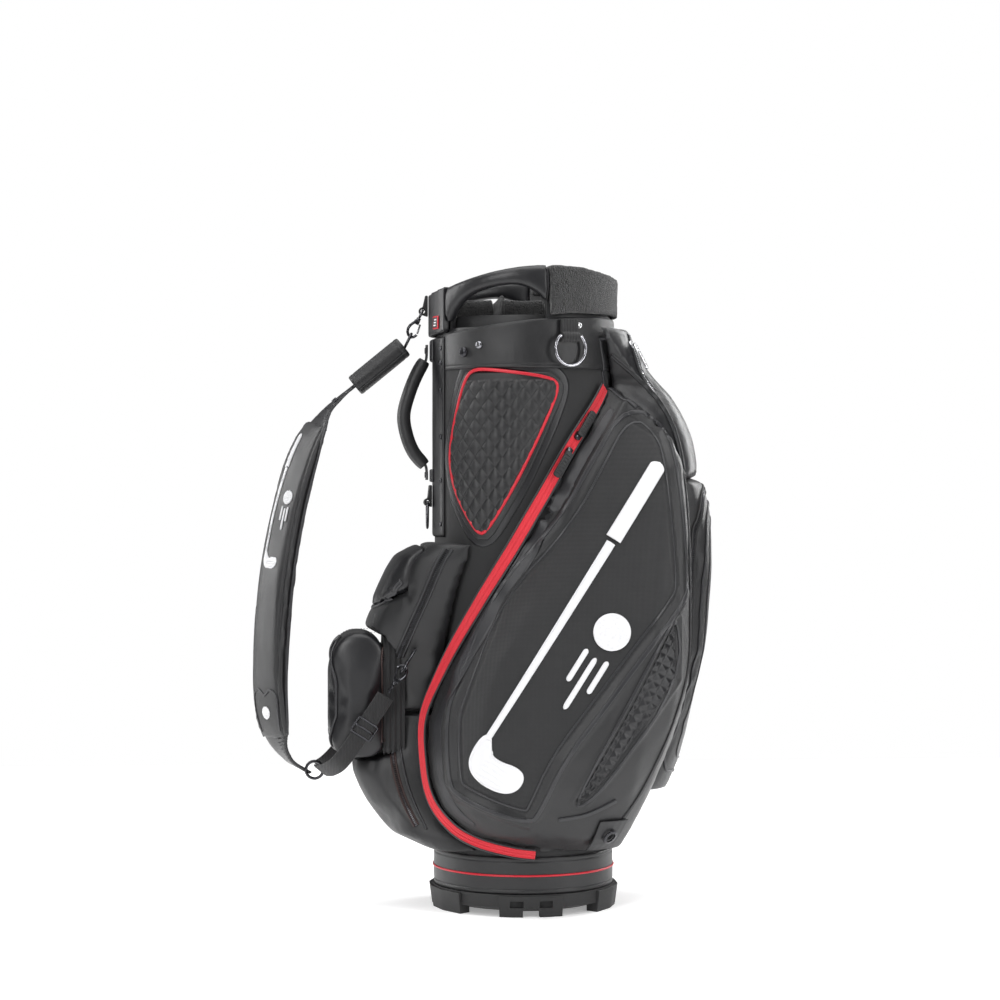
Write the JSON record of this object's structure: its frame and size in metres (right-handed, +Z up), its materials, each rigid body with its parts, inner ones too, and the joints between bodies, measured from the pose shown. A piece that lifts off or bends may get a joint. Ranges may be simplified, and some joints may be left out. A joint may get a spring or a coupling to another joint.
{
  "type": "golf staff bag",
  "caption": "Tall cylindrical golf staff bag with padded cuff, divided top, large side pockets, carrying strap, grab handle and moulded base.",
  "frame": {"origin": "centre of the base's underside, on the surface that the bag stands on", "axes": "+Z up the bag towards the club openings, -X towards the carrying strap and the ball pocket, -Y and +Y towards the two large apparel pockets"},
  "size_m": [0.6403, 0.3762, 0.8813],
  "materials": {
    "leather": "fine-grained satin synthetic leather",
    "fabric": "matt ballistic weave",
    "fleece": "short-pile fleece",
    "webbing": "ribbed woven webbing",
    "red_trim": "satin red tape and piping",
    "white_applique": "smooth raised applique",
    "plastic": "moulded, lightly textured",
    "moulded_rubber": "moulded, matt",
    "gunmetal": "polished gunmetal plate",
    "black_metal": "gloss black plate"
  },
  "bodies": {
    "bag": {"anchor_ring_far": "black_metal", "anchor_ring_near": "black_metal", "apparel_pocket_far": "leather", "apparel_pocket_near": "leather", "ball_gusset": "fabric", "ball_pocket": "leather", "base_band": "leather", "base_cup": "moulded_rubber", "base_piping": "red_trim", "body_tube": "fabric", "bottle_hood": "leather", "bottle_pocket": "leather", "button_stud": "black_metal", "collar_band": "leather", "collar_cap": "leather", "collar_frame": "plastic", "cuff_fleece": "fleece", "divider_grid": "fleece", "divider_walls": "fabric", "eyelet_stud": "gunmetal", "grommet_eyelet": "gunmetal", "grommet_tab": "leather", "handle_tab_bottom": "leather", "handle_tab_top": "leather", "hook_far": "black_metal", "hook_near": "black_metal", "leg_far": "webbing", "leg_near": "webbing", "lift_handle_far": "leather", "lift_handle_near": "leather", "lower_pocket": "leather", "pocket_side_main": "leather", "pocket_side_upper": "leather", "quilted_panel_far": "fabric", "quilted_panel_near": "fabric", "snap_hook": "black_metal", "spine_panel": "leather", "split_ring": "black_metal", "stay_far": "gunmetal", "stay_near": "gunmetal", "strap_ring": "black_metal", "strap_tab": "leather", "towel_tab": "webbing", "umbrella_tab": "webbing", "zip_far": "red_trim", "zip_near": "red_trim"},
    "towel_ring": {"towel_ring": "gunmetal"},
    "umbrella_ring": {"umbrella_ring": "black_metal"},
    "grab_handle": {"grab_handle": "leather"},
    "strap": {"strap_sleeve": "leather", "upper_yoke": "leather", "shoulder_pad": "leather", "lower_yoke": "leather"},
    "snap_gate": {"snap_gate": "gunmetal"},
    "upper_slider": {"slider_near_upper": "black_metal"},
    "upper_puller": {"puller_near_upper": "plastic"},
    "lower_slider": {"slider_near_lower": "black_metal"},
    "lower_puller": {"puller_near_lower": "plastic"},
    "side_slider": {"slider_side": "gunmetal"},
    "side_puller": {"puller_side": "gunmetal"}
  },
  "joints": [
    {"name": "towel_ring_swing", "type": "hinge", "parent": "bag", "child": "towel_ring", "pos_m": [0.05351, -0.12307, 0.784], "axis": [-0.9171, -0.3987, 0], "range_deg": [0, 100]},
    {"name": "umbrella_ring_swing", "type": "hinge", "parent": "bag", "child": "umbrella_ring", "pos_m": [-0.1341, 0, 0.56], "axis": [0, 1, 0], "range_deg": [0, 90]},
    {"name": "grab_handle_swing", "type": "hinge", "parent": "bag", "child": "grab_handle", "pos_m": [-0.1346, 0, 0.685], "axis": [0, 0, 1], "range_deg": [-12, 12]},
    {"name": "strap_swing", "type": "hinge", "parent": "bag", "child": "strap", "pos_m": [-0.16608, 0, 0.7747], "axis": [-0.2229, -0.0133, -0.9748], "range_deg": [-15, 15]},
    {"name": "snap_gate_press", "type": "hinge", "parent": "bag", "child": "snap_gate", "pos_m": [-0.14423, 0, 0.80756], "axis": [0, 1, 0], "range_deg": [0, 20], "stiffness_Nm_per_rad": 0.01},
    {"name": "upper_slider_slide", "type": "slide", "parent": "bag", "child": "upper_slider", "axis": [0.5114, 0.2943, 0.8074], "range_m": [0, 0.045]},
    {"name": "upper_puller_hinge", "type": "hinge", "parent": "upper_slider", "child": "upper_puller", "pos_m": [0.06643, -0.12071, 0.65008], "axis": [0.7076, 0.389, -0.5899], "range_deg": [0, 120]},
    {"name": "lower_slider_slide", "type": "slide", "parent": "bag", "child": "lower_slider", "axis": [-0.5021, -0.2136, -0.838], "range_m": [0, 0.045]},
    {"name": "lower_puller_hinge", "type": "hinge", "parent": "lower_slider", "child": "lower_puller", "pos_m": [0.05195, -0.12768, 0.62806], "axis": [-0.7763, -0.3156, 0.5456], "range_deg": [0, 120]},
    {"name": "side_slider_slide", "type": "slide", "parent": "bag", "child": "side_slider", "axis": [0.428, -0.1391, -0.893], "range_m": [0, 0.012]},
    {"name": "side_puller_hinge", "type": "hinge", "parent": "side_slider", "child": "side_puller", "pos_m": [0.15033, -0.04884, 0.78025], "axis": [-0.309, -0.9511, 0], "range_deg": [0, 100]}
  ]
}
